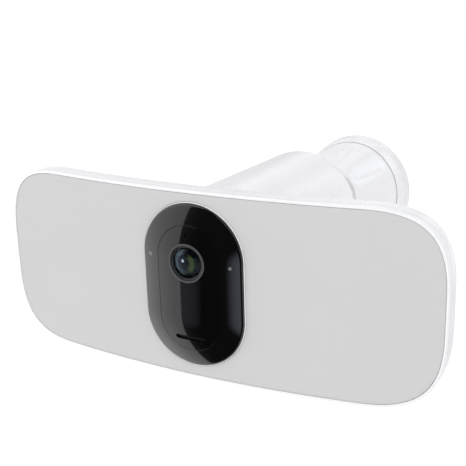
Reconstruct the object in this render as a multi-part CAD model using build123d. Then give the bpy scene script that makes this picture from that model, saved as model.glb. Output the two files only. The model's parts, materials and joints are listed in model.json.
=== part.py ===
"""Floodlight security camera on a ball-jointed wall mount.

The wall is the plane y = 0 and the lamp stands out from it towards -Y, with +Z up. The lamp head is built in
its own straight frame, where x is to its right, y runs back from the middle of the diffuser's front, and z is
up. head_place() then turns it about the centre of the ball, as it hangs on the wall.
"""
from build123d import *
import math
import os

os.makedirs("parts", exist_ok=True)

# ---- Driving dimensions, millimetres and degrees ------------------------------------------------------------
DIFFUSER_HALF_WIDTH = 146.6
DIFFUSER_HALF_HEIGHT = 57.4
CORNER = 45.0                 # size of the outline's corner
CORNER_POWER = 2.65           # superellipse power of that corner: 2 is a circle
BEND_RADIUS = 683.0           # the panel is bent about an upright axis behind it
RIM = 1.9                     # width of the white rim round the diffuser
GAP = 0.3                     # between pieces that move apart
FIT = 0.05                    # radial clearance of a shaft in its hole
SEAM = 0.15                   # between still pieces that lie side by side

# Depths of the panel's layers, back from the diffuser's front
DIFFUSER_BACK = 2.2
BEZEL_FRONT = -0.4
BEZEL_BACK = 4.1
COVER_FRONT = 4.7
COVER_INSIDE = 13.1
COVER_BACK = 15.5
COVER_WALL = 2.8
REFLECTOR = (5.6, 6.8)
LED_FRONT = 7.4
LED_BOARD = (8.2, 9.8)
HEAT_SINK_BACK = 11.6
POST_RADIUS = 2.8
PANEL_SCREW_RADIUS = 1.3
SYNC_X = 72.0                 # button on the panel's back
SYNC_RADIUS = 4.0
PORT_X = -72.0                # charging port on the panel's back
PORT_DEPTH = 3.0

# Camera cover in the middle of the panel
COVER_HALF_WIDTH = 33.0
COVER_HALF_HEIGHT = 50.9
COVER_Z = 0.8                 # height of its middle
COVER_NOSE = -8.4             # its front, at the middle
COVER_ROUND = 82.0            # radius of its domed front
COVER_SKIN = 1.8
FACE_HALF_WIDTH = 20.4
FACE_HALF_HEIGHT = 39.2
TRIM_WIDTH = 0.7              # bright line round the cover
LENS_Z = 17.5
LENS_RING_RADIUS = 11.8
LENS_RING_PROUD = 0.3         # height of the ring above the domed front
LENS_BORE = 9.2
SPEAKER_Z = -30.0
SPEAKER_SLOT = 9.8            # half its length
SPEAKER_SLOT_HEIGHT = 2.8
MICROPHONE_Z = 34.2
WINDOW_X = 26.8
WINDOW_Z = 18.9
LIGHT_Z = 16.8
WINDOW_HALF = 1.3
LIGHT_RADIUS = 1.0

# Housing behind the panel
HOUSING_Z = 8.0               # height of its axis above the panel's middle
SLEEVE_FRONT = 17.4
SLEEVE_FRONT_RADIUS = 44.6
SLEEVE_BACK_RADIUS = 40.4
DOME_START = 158.0
DOME_LENGTH = 25.0
SLEEVE_WALL = 2.6
SPIGOT_RADIUS = 40.8
SPIGOT_BACK = 36.0
SPIGOT_WALL = 2.2
BAY_OPENING = 34.0            # hole through the panel's back into the housing
BAY_GUIDE_RADIUS = 39.0
BAY_FLANGE_RADIUS = SPIGOT_RADIUS - SPIGOT_WALL - 0.2
BAY_FRONT = 17.8
BAY_BACK = 108.0
BATTERY_SIDE = 46.0
BATTERY_FRONT = 25.0
BATTERY_LENGTH = 80.0
CELL_RADIUS = 9.2
CELL_LENGTH = 65.0
BUTTON_Y = 66.0               # release button under the sleeve
BUTTON_HALF = 6.0
BUTTON_FLANGE = 3.7           # height of its flange above the sleeve's lowest line
BRIDGE_HALF = 10.0            # bridge inside the sleeve, over the button
BRIDGE_TOP = -24.7

# Ball joint and wall mount
BALL_Y = 226.3                # in the head's frame
BALL_Z = -3.3
BALL_RADIUS = 18.0
BALL_TO_WALL = 43.0
STEM_RADIUS = 6.0
BOSS_RADIUS = 15.0
BOSS_FRONT = 172.0
BOSS_BACK = 200.3
CUP_RADIUS = 20.7
SEAT_RADIUS = CUP_RADIUS + GAP
CUP_ANGLE = 52.0              # how far round the ball the cup reaches, from behind
PLATE_RADIUS = 39.6
PLATE_THICKNESS = 6.0
PLATE_HOLE_CIRCLE = 54.0
PLATE_HOLE_RADIUS = 2.4
SECURITY_Y = -4.4
BASE_RADIUS = 46.0
BASE_FRONT_RADIUS = 41.9
BASE_FRONT = -16.1
SPINDLE_RADIUS = 28.0
SPINDLE_FRONT = -35.5
COLLAR_BACK = -16.4
COLLAR_FRONT = -54.5
COLLAR_FRONT_RADIUS = 25.4
COLLAR_LOBES = 8
COLLAR_FLUTE = 44.0           # angle of the first flute, up from the right

REST_PAN = 5.0                # turned to its left, about Z
REST_TILT = 6.0               # and nodding down, about its own X

BASE_ALIGN = (Align.CENTER, Align.CENTER, Align.MIN)


# ---- Small builders -----------------------------------------------------------------------------------------
def head_place():
    """Where the head's own frame sits: its ball centre on the mount's, then panned and tilted."""
    turn = Rot(0, 0, REST_PAN) * Rot(REST_TILT, 0, 0)
    return Pos(0, -BALL_TO_WALL, 0) * turn * Pos(0, -BALL_Y, -BALL_Z)


def save(name, shape, place=None):
    """Write one node."""
    export_step(shape if place is None else place * shape, f"parts/{name}.step")


def rod(radius, y1, y2, x=0.0, z=0.0):
    """Round bar along Y."""
    return Pos(x, y1, z) * Rot(-90, 0, 0) * Cylinder(radius, y2 - y1, align=BASE_ALIGN)


def tube(outer, inner, y1, y2, x=0.0, z=0.0):
    """Round tube along Y."""
    return rod(outer, y1, y2, x, z) - rod(inner, y1 - 1, y2 + 1, x, z)


def block(x1, x2, y1, y2, z1, z2):
    """Box between two corners."""
    middle = Pos((x1 + x2) / 2, (y1 + y2) / 2, (z1 + z2) / 2)
    return middle * Box(x2 - x1, y2 - y1, z2 - z1)


def stadium(half_width, half_height, y1, y2, z=0.0):
    """Upright bar with round ends, along Y."""
    rise = half_height - half_width
    ends = rod(half_width, y1, y2, 0, z + rise) + rod(half_width, y1, y2, 0, z - rise)
    return ends + block(-half_width, half_width, y1, y2, z - rise, z + rise)


def turned(points, z=0.0):
    """Solid of revolution about Y from (radius, y) points."""
    profile = make_face(Polyline(*[(radius, y, 0) for radius, y in points], close=True))
    return Pos(0, 0, z) * revolve(profile, axis=Axis.Y)


def soft_square(side, corner, y1, y2, z=0.0):
    """Square bar along Y with rounded edges."""
    bar = Box(side, y2 - y1, side)
    bar = fillet(bar.edges().filter_by(Axis.Y), corner)
    return Pos(0, (y1 + y2) / 2, z) * bar


def hexagon(across_flats, y1, y2, z=0.0):
    """Hexagon bar along Y."""
    face = RegularPolygon(across_flats / 2, 6, major_radius=False)
    return Pos(0, y1, z) * Rot(-90, 0, 0) * extrude(face, y2 - y1)


# ---- The bent panel -----------------------------------------------------------------------------------------
def panel_outline(inset):
    """Face in the plane y = 0: the diffuser's outline, drawn in by inset."""
    half_w = DIFFUSER_HALF_WIDTH - inset
    half_h = DIFFUSER_HALF_HEIGHT - inset
    size = CORNER - inset
    reach = size * (1 - (8 * 2 ** (-1 / CORNER_POWER) - 4) / 3)
    quarter = [
        Line((0, 0, half_h), (half_w - size, 0, half_h)),
        Bezier(
            (half_w - size, 0, half_h),
            (half_w - reach, 0, half_h),
            (half_w, 0, half_h - reach),
            (half_w, 0, half_h - size),
        ),
        Line((half_w, 0, half_h - size), (half_w, 0, 0)),
    ]
    half = quarter + [mirror(edge, about=Plane.XY) for edge in quarter]
    return make_face(half + [mirror(edge, about=Plane.YZ) for edge in half])


def panel_prism(inset):
    """The outline drawn straight through the panel, front to back."""
    front = -20.0
    return Pos(0, front, 0) * extrude(panel_outline(inset), 80.0, dir=(0, 1, 0))


def bent_slab(depth_1, depth_2):
    """Everything between two depths of the bent panel."""
    axis = Pos(0, BEND_RADIUS, 0)
    return axis * Cylinder(BEND_RADIUS - depth_1, 300) - axis * Cylinder(BEND_RADIUS - depth_2, 320)


def panel_layer(inset, depth_1, depth_2):
    """One layer of the panel."""
    return panel_prism(inset) & bent_slab(depth_1, depth_2)


def camera_hole(clearance):
    """Room for the camera cover through the panel's layers."""
    return cover_bar(clearance, -20, 40)


def make_diffuser():
    return panel_layer(0, 0, DIFFUSER_BACK) - camera_hole(TRIM_WIDTH + SEAM)


def make_front_bezel():
    rim = panel_layer(-RIM, BEZEL_FRONT, BEZEL_BACK) - panel_prism(2.5)
    return rim - panel_layer(-SEAM, -5, DIFFUSER_BACK + SEAM)


def make_panel_gasket():
    return panel_layer(-RIM + 1.0, BEZEL_BACK + 0.05, COVER_FRONT - 0.05) - panel_prism(1.0)


def make_rear_cover():
    """Back shell of the panel, with the spigot that plugs into the sleeve."""
    shell = panel_layer(-RIM, COVER_FRONT, COVER_BACK) - panel_layer(COVER_WALL - RIM, 0, COVER_INSIDE)
    shell += tube(SPIGOT_RADIUS, SPIGOT_RADIUS - SPIGOT_WALL, COVER_BACK - 1, SPIGOT_BACK, z=HOUSING_Z)
    shell -= rod(BAY_OPENING, 0, 40, z=HOUSING_Z)
    shell -= tube(SPIGOT_RADIUS + 1, SPIGOT_RADIUS - 0.8, 28.4, 30.6, z=HOUSING_Z)
    for x, z in bay_screw_places():
        shell -= rod(1.35, 0, 30, x, z)
    shell -= charge_recess(0)
    shell -= rod(SYNC_RADIUS + GAP, 10, 40, SYNC_X, 0)
    for x, z in panel_screw_places():
        shell -= rod(1.6, 0, 40, x, z)
        shell -= rod(3.0, panel_depth_at(x, COVER_BACK) - 1.3, 60, x, z)
    return shell


def make_reflector_tray():
    """White tray behind the diffuser, with a hole over every light-emitting diode."""
    tray = panel_layer(3.4, *REFLECTOR) - camera_hole(1.0)
    tray -= [rod(2.9, -10, 40, x, z) for x, z in led_places()]
    for x, z in panel_screw_places():
        tray += rod(POST_RADIUS, panel_depth_at(x, REFLECTOR[0] + 0.5), panel_depth_at(x, COVER_INSIDE - 0.7), x, z)
        tray -= rod(PANEL_SCREW_RADIUS + FIT, -10, 40, x, z)
    return tray


def led_places():
    """Grid of the light-emitting diodes on the two boards."""
    columns = [48 + 12 * i for i in range(7)]
    rows = [-36 + 18 * j for j in range(5)]
    return [(side * x, z) for side in (-1, 1) for x in columns for z in rows]


def make_led_board(side):
    board = panel_layer(7.5, *LED_BOARD)
    board &= block(39, 134, -30, 60, -50, 50) if side > 0 else block(-134, -39, -30, 60, -50, 50)
    return board - [rod(POST_RADIUS + 0.2, -10, 40, x, z) for x, z in panel_screw_places()]


def make_led_packages():
    half = 1.6
    posts = [block(x - half, x + half, -10, 50, z - half, z + half) for x, z in led_places()]
    return (Part() + posts) & bent_slab(LED_FRONT, LED_BOARD[0])


def make_heat_sink_plate():
    plate = panel_layer(3.6, LED_BOARD[1], HEAT_SINK_BACK) - camera_hole(1.0)
    plate -= rod(SYNC_RADIUS + 2.5, -10, 40, SYNC_X, 0)
    return plate - [rod(POST_RADIUS + 0.2, -10, 40, x, z) for x, z in panel_screw_places()]


def panel_screw_places():
    """Four screws, near the panel's long edges."""
    return [(side * 92, up * 50.5) for side in (-1, 1) for up in (-1, 1)]


def panel_depth_at(x, depth):
    """y of the layer at this depth, x to the side of the middle."""
    radius = BEND_RADIUS - depth
    return BEND_RADIUS - math.sqrt(radius**2 - x**2)


def make_panel_screws():
    """Screws through the rear cover into the reflector tray's posts, with sunk heads."""
    screws = []
    for x, z in panel_screw_places():
        back = panel_depth_at(x, COVER_BACK)
        head = rod(2.8, back - 1.2, back - 0.1, x, z)
        screws.append(head + rod(PANEL_SCREW_RADIUS, back - 8.5, back - 1.0, x, z))
    return Part() + screws


def make_antennas():
    strips = [block(side * 65 - 20, side * 65 + 20, -10, 50, 40, 46) for side in (-1, 1)]
    return (Part() + strips) & bent_slab(HEAT_SINK_BACK + 0.1, HEAT_SINK_BACK + 1.1)


# ---- Camera -------------------------------------------------------------------------------------------------
def cover_bar(growth, y1, y2):
    """Upright bar with the cover's outline, grown by this much."""
    return stadium(COVER_HALF_WIDTH + growth, COVER_HALF_HEIGHT + growth, y1, y2, z=COVER_Z)


def cover_dome(skin):
    """Round-ended bar whose front is the cover's domed front, skin deep."""
    radius = COVER_ROUND - skin
    rise = COVER_HALF_HEIGHT - COVER_HALF_WIDTH
    ends = [Pos(0, 0, side * rise) * Sphere(radius) for side in (-1, 1)]
    return Pos(0, COVER_NOSE + COVER_ROUND, COVER_Z) * (Cylinder(radius, 2 * rise) + ends)


def make_camera_cover():
    outer = cover_bar(0, -20, 6.0) & cover_dome(0)
    cover = outer - (cover_bar(-COVER_SKIN, -20, 7.0) & cover_dome(COVER_SKIN))
    cover -= stadium(FACE_HALF_WIDTH, FACE_HALF_HEIGHT, -20, 0, z=COVER_Z)
    half = WINDOW_HALF + SEAM
    cover -= block(-WINDOW_X - half, -WINDOW_X + half, -20, 0, WINDOW_Z - half, WINDOW_Z + half)
    return cover - rod(LIGHT_RADIUS + SEAM, -20, 0, WINDOW_X, LIGHT_Z)


def make_cover_trim():
    """Thin bright ring between the cover and the diffuser, bent like the panel."""
    ring = cover_bar(TRIM_WIDTH, -5, 10) - cover_bar(SEAM, -6, 11)
    return ring & bent_slab(-0.4, 3.0)


def make_face_window():
    face = stadium(FACE_HALF_WIDTH - SEAM, FACE_HALF_HEIGHT - SEAM, -20, 0, z=COVER_Z)
    face &= cover_dome(0) - cover_dome(COVER_SKIN)
    face -= rod(LENS_RING_RADIUS + SEAM, -20, 0, z=LENS_Z)
    face -= rod(0.8, -20, 0, z=MICROPHONE_Z)
    half = SPEAKER_SLOT_HEIGHT / 2
    return face - block(-SPEAKER_SLOT, SPEAKER_SLOT, -20, 0, SPEAKER_Z - half, SPEAKER_Z + half)


def make_lens_ring():
    """Stepped ring round the lens, its front domed like the cover."""
    points = [
        (LENS_BORE, -6.6), (LENS_BORE, -8.0), (10.4, -9.0), (LENS_RING_RADIUS, -9.0),
        (LENS_RING_RADIUS, -3.0), (10.0, -3.0), (10.0, -6.6),
    ]
    return turned(points, z=LENS_Z) & cover_dome(-LENS_RING_PROUD)


def make_lens_glass():
    """Front element: a shallow dome."""
    dome_radius = 16.0
    crown = -8.6
    dome = Pos(0, crown + dome_radius, LENS_Z) * Sphere(dome_radius)
    hollow = Pos(0, crown + dome_radius + 2.0, LENS_Z) * Sphere(dome_radius)
    return (dome - hollow) & rod(8.8, -12, -4.2, z=LENS_Z)


def make_lens_barrel():
    points = [(9.0, -4.0), (9.0, 9.0), (7.0, 9.0), (7.0, -1.0), (8.2, -1.0), (8.2, -4.0)]
    return turned(points, z=LENS_Z)


def make_lens_elements():
    """Three lenses in a row inside the barrel."""
    lenses = [
        turned([(0, y - swell), (3.5, y - 0.7 * swell), (radius, y), (radius, y + 0.8), (0, y + 0.8)], z=LENS_Z)
        for radius, y, swell in ((8.0, -2.2, 1.3), (6.8, 1.6, 1.0), (6.8, 5.6, 1.4))
    ]
    return Part() + lenses


def make_image_sensor():
    return block(-4.5, 4.5, 10.0, 11.0, LENS_Z - 3.5, LENS_Z + 3.5)


def make_sensor_board():
    return block(-13, 13, 11.0, 12.2, LENS_Z - 12, LENS_Z + 12)


def make_main_board():
    return block(-19, 19, 14.4, 15.8, HOUSING_Z - 26, HOUSING_Z + 26)


def make_board_components():
    """Processor, memory, radio and power parts on the main board's back."""
    parts = [
        (-6, 6, -18, -6, 1.4), (-15, -9, -17, -8, 1.0), (8, 16, -20, -12, 1.2),
        (-16, -4, 4, 10, 1.0), (4, 15, 0, 14, 1.3), (-14, -8, 16, 22, 1.5),
    ]
    chips = [
        block(x1, x2, 15.8, 15.8 + height, HOUSING_Z + z1, HOUSING_Z + z2) for x1, x2, z1, z2, height in parts
    ]
    return Part() + chips


def make_infrared_board():
    board = block(-21, 21, -2.4, -1.2, LENS_Z - 11, LENS_Z + 12)
    return board - rod(10.3, -5, 5, z=LENS_Z)


def make_infrared_leds():
    """Four round emitters about the lens, behind the smoked face."""
    places = [(side * 15.5, LENS_Z + up) for side in (-1, 1) for up in (-6.5, 6.5)]
    return Part() + [rod(2.3, -4.2, -2.4, x, z) for x, z in places]


def make_speaker():
    points = [(0, -3.1), (9.5, -3.1), (11.0, -2.1), (11.0, 2.5), (7.0, 2.5), (7.0, 7.1), (0, 7.1)]
    return turned(points, z=SPEAKER_Z)


def make_speaker_grille():
    """Thin plate with upright slits, just behind the slot in the face."""
    plate = block(-11.0, 11.0, -4.4, -3.8, SPEAKER_Z - 1.8, SPEAKER_Z + 1.8)
    slits = [block(x - 0.35, x + 0.35, -7, -3, SPEAKER_Z - 1.0, SPEAKER_Z + 1.0) for x in range(-10, 11, 2)]
    return plate - slits


def make_microphone():
    body = block(-2.2, 2.2, -3.6, -2.0, MICROPHONE_Z - 1.6, MICROPHONE_Z + 1.6)
    return body + tube(1.3, 0.6, -4.6, -3.6, z=MICROPHONE_Z)


def make_sensor_window():
    half = WINDOW_HALF
    plug = block(-WINDOW_X - half, -WINDOW_X + half, -20, 1.0, WINDOW_Z - half, WINDOW_Z + half)
    return plug & cover_dome(0)


def make_status_light_pipe():
    return rod(LIGHT_RADIUS, -20, 2.0, WINDOW_X, LIGHT_Z) & cover_dome(0)


def make_motion_sensor():
    return rod(4.6, -3.0, 1.2, z=-8.0) + rod(5.2, 1.2, 1.8, z=-8.0)


def make_motion_lens():
    plate = block(-11, 11, -5.4, -4.6, -17, 1)
    return plate - block(-8.6, 8.6, -4.9, -4.0, -15, -1)


def make_chassis():
    """Frame that carries the camera's parts behind the cover."""
    plate = cover_bar(-2.4, 6.4, 8.4)
    plate -= rod(9.3, 0, 20, z=LENS_Z)
    plate -= rod(7.3, 0, 20, z=SPEAKER_Z)
    for x, z in chassis_screw_places():
        plate += rod(2.6, 8.4, 11.8, x, z)
        plate -= rod(1.15, 0, 20, x, z)
    return plate


def chassis_screw_places():
    return [(side * 24, up * 27) for side in (-1, 1) for up in (-1, 1)]


def make_chassis_screws():
    places = chassis_screw_places()
    return Part() + [rod(1.1, 7.0, 11.8, x, z) + rod(2.1, 11.8, 13.0, x, z) for x, z in places]


def make_siren():
    return rod(10.0, 9.0, 12.0, z=SPEAKER_Z) + rod(5.0, 12.0, 12.8, z=SPEAKER_Z)


# ---- Sync button and charging port on the back of the panel --------------------------------------------------
def make_sync_button():
    """Cap that stands a little proud of the rear cover, on a wider foot inside."""
    back = panel_depth_at(SYNC_X, COVER_BACK)
    inside = panel_depth_at(SYNC_X, COVER_INSIDE)
    foot = rod(SYNC_RADIUS + 1.2, inside - 1.6, inside - 0.8, SYNC_X, 0)
    cap = rod(SYNC_RADIUS, inside - 1.6, back + 1.2, SYNC_X, 0)
    return foot + cap - Pos(SYNC_X, back + 13.0, 0) * Sphere(12.4)


def charge_recess(shrink):
    """Long pocket in the rear cover's back, for a magnetic plug."""
    half = 9.0 - shrink
    reach = half - 4.0
    floor = panel_depth_at(PORT_X, COVER_BACK) - PORT_DEPTH + shrink
    ends = [rod(4.0 - shrink, floor, 40, PORT_X + side * reach, 0) for side in (-1, 1)]
    middle = block(PORT_X - reach, PORT_X + reach, floor, 40, shrink - 4.0, 4.0 - shrink)
    return Part() + ends + middle


def make_charge_port():
    """Cup that lines the pocket; its floor carries the contacts."""
    back = panel_depth_at(PORT_X, COVER_BACK)
    outer = charge_recess(SEAM) & block(PORT_X - 20, PORT_X + 20, 0, back - 0.6, -9, 9)
    inner = charge_recess(1.0)
    cup = outer - inner
    return cup - [rod(0.9, 0, 40, PORT_X + x, 0) for x in charge_contact_places()]


def charge_contact_places():
    return [-3.6, 0.0, 3.6]


def make_charge_contacts():
    floor = panel_depth_at(PORT_X, COVER_BACK) - PORT_DEPTH
    return Part() + [rod(0.85, floor + SEAM, floor + 1.5, PORT_X + x, 0) for x in charge_contact_places()]


# ---- Battery bay and battery --------------------------------------------------------------------------------
def bay_screw_places():
    radius = 36.6
    angles = [45, 135, 225, 315]
    return [
        (radius * math.cos(math.radians(a)), HOUSING_Z + radius * math.sin(math.radians(a))) for a in angles
    ]


def make_battery_bay():
    """Square carrier that is open at the back, with a flange in front and a guide ring near its end."""
    flange_back = BAY_FRONT + 2.5
    bay = soft_square(BATTERY_SIDE + 5.6, 8.8, BAY_FRONT, BAY_BACK, z=HOUSING_Z)
    bay += rod(BAY_FLANGE_RADIUS, BAY_FRONT, flange_back, z=HOUSING_Z)
    bay += rod(BAY_GUIDE_RADIUS, BAY_BACK - 8, BAY_BACK - 4, z=HOUSING_Z)
    bay -= soft_square(BATTERY_SIDE + 1.2, 6.6, flange_back, BAY_BACK + 5, z=HOUSING_Z)
    for x, z in bay_screw_places():
        bay -= rod(1.45, 0, 24, x, z)
    for x in battery_contact_places():
        bay -= rod(1.0, 0, 40, x, HOUSING_Z - 12)
    notch = BRIDGE_HALF + 2.0
    return bay - block(-notch, notch, BAY_BACK - 9, BAY_BACK - 3, -60, BRIDGE_TOP + 2.0)


def make_bay_screws():
    flange_back = BAY_FRONT + 2.5
    screws = [
        rod(1.3, 14.0, flange_back, x, z) + rod(1.9, flange_back, flange_back + 1.2, x, z)
        for x, z in bay_screw_places()
    ]
    return Part() + screws


def battery_contact_places():
    return [-9.0, -3.0, 3.0, 9.0]


def make_battery_contacts():
    z = HOUSING_Z - 12
    return Part() + [rod(0.9, 17.4, BATTERY_FRONT - GAP, x, z) for x in battery_contact_places()]


def make_battery_case():
    """Closed case with a finger recess in its back."""
    back = BATTERY_FRONT + BATTERY_LENGTH
    case = soft_square(BATTERY_SIDE, 6.0, BATTERY_FRONT, back, z=HOUSING_Z)
    case -= soft_square(BATTERY_SIDE - 4, 4.0, BATTERY_FRONT + 2, back - 8, z=HOUSING_Z)
    for side in (-1, 1):
        case -= block(side * 14 - 5, side * 14 + 5, back - 6, back + 1, HOUSING_Z - 9, HOUSING_Z + 9)
    for x in battery_contact_places():
        case -= rod(1.6, BATTERY_FRONT - 1, BATTERY_FRONT + 3, x, HOUSING_Z - 12)
    return case


def make_battery_pads():
    z = HOUSING_Z - 12
    return Part() + [rod(1.5, BATTERY_FRONT + 0.2, BATTERY_FRONT + 1.8, x, z) for x in battery_contact_places()]


def make_battery_cells():
    pitch = CELL_RADIUS + 0.4
    start = BATTERY_FRONT + 3.5
    places = [(side * pitch, HOUSING_Z + up * pitch) for side in (-1, 1) for up in (-1, 1)]
    return Part() + [rod(CELL_RADIUS, start, start + CELL_LENGTH, x, z) for x, z in places]


def make_sleeve_seal():
    ring = Pos(0, 29.5, HOUSING_Z) * Rot(90, 0, 0) * Torus(SPIGOT_RADIUS - 0.1, 0.7)
    return ring


# ---- Sleeve, release button and ball stem --------------------------------------------------------------------
def sleeve_profile(inset):
    """Half section of the sleeve as a face: a slight taper that ends in a dome."""
    front = SLEEVE_FRONT_RADIUS - inset
    back = SLEEVE_BACK_RADIUS - inset
    dome = DOME_LENGTH - inset
    start = SLEEVE_FRONT - (5.0 if inset else 0.0)
    outline = [
        Line((0, start, 0), (front, start, 0)),
        Line((front, start, 0), (back, DOME_START, 0)),
        Bezier(
            (back, DOME_START, 0),
            (back, DOME_START + 0.55 * dome, 0),
            (0.55 * back, DOME_START + dome, 0),
            (0, DOME_START + dome, 0),
        ),
        Line((0, DOME_START + dome, 0), (0, start, 0)),
    ]
    return make_face(outline)


def make_housing_sleeve():
    sleeve = Pos(0, 0, HOUSING_Z) * revolve(sleeve_profile(0), axis=Axis.Y)
    sleeve -= Pos(0, 0, HOUSING_Z) * revolve(sleeve_profile(SLEEVE_WALL), axis=Axis.Y)
    sleeve += rod(BOSS_RADIUS, BOSS_FRONT, BOSS_BACK, z=BALL_Z)
    sleeve -= rod(STEM_RADIUS + FIT, 100, 260, z=BALL_Z)
    hole = BUTTON_HALF + 0.2
    sleeve -= block(-hole, hole, BUTTON_Y - hole, BUTTON_Y + hole, -60, HOUSING_Z - 30)
    return sleeve + button_bridge()


def button_bridge():
    """Bridge inside the sleeve that the button's spring pushes against."""
    foot = button_floor() + 1.5
    back = BUTTON_Y + 8.5
    front = BUTTON_Y - 8.5
    bridge = block(-BRIDGE_HALF, BRIDGE_HALF, front, back, foot, BRIDGE_TOP)
    inner = BRIDGE_HALF - 1.6
    return bridge - block(-inner, inner, front - 1, back + 1, foot - 1, BRIDGE_TOP - 1.4)


def button_floor():
    """z of the sleeve's lowest line at the button."""
    share = (BUTTON_Y - SLEEVE_FRONT) / (DOME_START - SLEEVE_FRONT)
    return HOUSING_Z - SLEEVE_FRONT_RADIUS - share * (SLEEVE_BACK_RADIUS - SLEEVE_FRONT_RADIUS)


def make_release_button():
    """Square cap on the underside, held in by its flange."""
    low = button_floor()
    half = BUTTON_HALF
    flange_low = low + BUTTON_FLANGE
    cap = block(-half, half, BUTTON_Y - half, BUTTON_Y + half, low - 0.6, flange_low)
    cap = fillet(cap.edges().filter_by(Axis.Z), 1.6)
    wide = half + 1.2
    return cap + block(-wide, wide, BUTTON_Y - wide, BUTTON_Y + wide, flange_low, flange_low + 1.0)


def make_release_spring():
    """Coil between the button and the bridge."""
    wire = 0.3
    low = button_floor() + BUTTON_FLANGE + 1.1 + wire
    height = BRIDGE_TOP - 1.5 - wire - low
    path = Pos(0, BUTTON_Y, low) * Helix(height / 4, height, 2.6)
    return sweep(Plane(path @ 0, z_dir=path % 0) * Circle(wire), path=path)


def make_ball_stem():
    """Ball, neck and threaded end, turned from one bar."""
    ball = Pos(0, BALL_Y, BALL_Z) * Sphere(BALL_RADIUS)
    stem = rod(STEM_RADIUS, 163.0, BALL_Y, z=BALL_Z)
    shoulder = rod(10.0, BOSS_BACK + GAP, BOSS_BACK + GAP + 3.0, z=BALL_Z)
    return ball + stem + shoulder


def make_stem_washer():
    return tube(11.0, STEM_RADIUS + FIT, BOSS_FRONT - GAP - 1.2, BOSS_FRONT - GAP, z=BALL_Z)


def make_stem_nut():
    nut = hexagon(18.0, 165.2, BOSS_FRONT - GAP - 1.3, z=BALL_Z)
    return nut - rod(STEM_RADIUS + FIT, 160, 180, z=BALL_Z)


# ---- Wall mount, in the wall's own frame ---------------------------------------------------------------------
def make_friction_cup():
    """Part of a hollow sphere behind the ball."""
    shell = Sphere(CUP_RADIUS) - Sphere(BALL_RADIUS + GAP)
    reach = 40.0
    wide = reach * math.tan(math.radians(CUP_ANGLE))
    cone = turned([(0, 0), (wide, reach), (0, reach)])
    return Pos(0, -BALL_TO_WALL, 0) * (shell & cone)


def make_wall_plate():
    """Plate that is screwed to the wall; the base twists on over it."""
    plate = rod(PLATE_RADIUS, -PLATE_THICKNESS, 0) - rod(20.0, -PLATE_THICKNESS - 1, -3.0)
    for i in range(4):
        angle = math.radians(45 + 90 * i)
        x = PLATE_HOLE_CIRCLE / 2 * math.cos(angle)
        z = PLATE_HOLE_CIRCLE / 2 * math.sin(angle)
        plate -= rod(PLATE_HOLE_RADIUS, -10, 1, x, z)
    return plate - security_hole(1.3)


def security_hole(radius):
    """Upright hole at the bottom of the mount for the locking screw."""
    return Pos(0, SECURITY_Y, -60) * Cylinder(radius, 26, align=BASE_ALIGN)


def make_mount_base():
    """Round base whose spindle holds the cup and the ball, and carries the collar."""
    inner = PLATE_RADIUS + 0.4
    points = [
        (0, SPINDLE_FRONT), (SPINDLE_RADIUS, SPINDLE_FRONT), (SPINDLE_RADIUS, BASE_FRONT),
        (BASE_FRONT_RADIUS, BASE_FRONT), (44.4, -9.5), (BASE_RADIUS, -3.5), (BASE_RADIUS, -1.3),
        (inner, -1.3), (inner, -8.0), (18.0, -12.0), (0, -12.0),
    ]
    base = turned(points)
    base -= Pos(0, -BALL_TO_WALL, 0) * Sphere(SEAT_RADIUS)
    base -= security_hole(1.6)
    return base - Pos(0, SECURITY_Y, -60) * Cylinder(2.8, 60 - BASE_RADIUS + 3.4, align=BASE_ALIGN)


def make_security_screw():
    head_bottom = 1.2 - BASE_RADIUS
    shank = Pos(0, SECURITY_Y, head_bottom + 1.8) * Cylinder(1.25, 8.0, align=BASE_ALIGN)
    head = Pos(0, SECURITY_Y, head_bottom) * Cylinder(2.6, 2.0, align=BASE_ALIGN)
    socket = Pos(0, SECURITY_Y, head_bottom - 0.4) * extrude(RegularPolygon(1.2, 6), 1.4)
    return shank + head - socket


def make_base_seal():
    return tube(BASE_RADIUS - 0.6, BASE_RADIUS - 4.6, -1.2, -0.1)


def make_lock_collar():
    """Cone that is turned to clamp the ball, with shallow lobes for the fingers."""
    bore = SPINDLE_RADIUS + FIT
    lip = -BALL_TO_WALL - 9.0
    points = [
        (BASE_FRONT_RADIUS, COLLAR_BACK), (COLLAR_FRONT_RADIUS, COLLAR_FRONT), (23.3, COLLAR_FRONT),
        (23.3, lip), (12.0, lip), (12.0, -47.5), (24.0, -47.5), (24.0, -36.0), (bore, -36.0),
        (bore, COLLAR_BACK), (31.0, COLLAR_BACK), (31.0, -30.0), (38.8, COLLAR_BACK),
    ]
    collar = turned(points) - Pos(0, -BALL_TO_WALL, 0) * Sphere(BALL_RADIUS + GAP)
    slope = math.degrees(math.atan2(BASE_FRONT_RADIUS - COLLAR_FRONT_RADIUS, COLLAR_BACK - COLLAR_FRONT))
    middle_radius = (BASE_FRONT_RADIUS + COLLAR_FRONT_RADIUS) / 2
    middle_y = (COLLAR_BACK + COLLAR_FRONT) / 2
    flute = 30.0
    depth = 0.9
    for i in range(COLLAR_LOBES):
        turn = Rot(0, -COLLAR_FLUTE - 360 / COLLAR_LOBES * i, 0)
        cutter = turn * Pos(middle_radius, middle_y, 0) * Rot(0, 0, -slope)
        collar -= cutter * Pos(flute - depth, 0, 0) * Rot(90, 0, 0) * Cylinder(flute, 30)
    return collar


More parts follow.
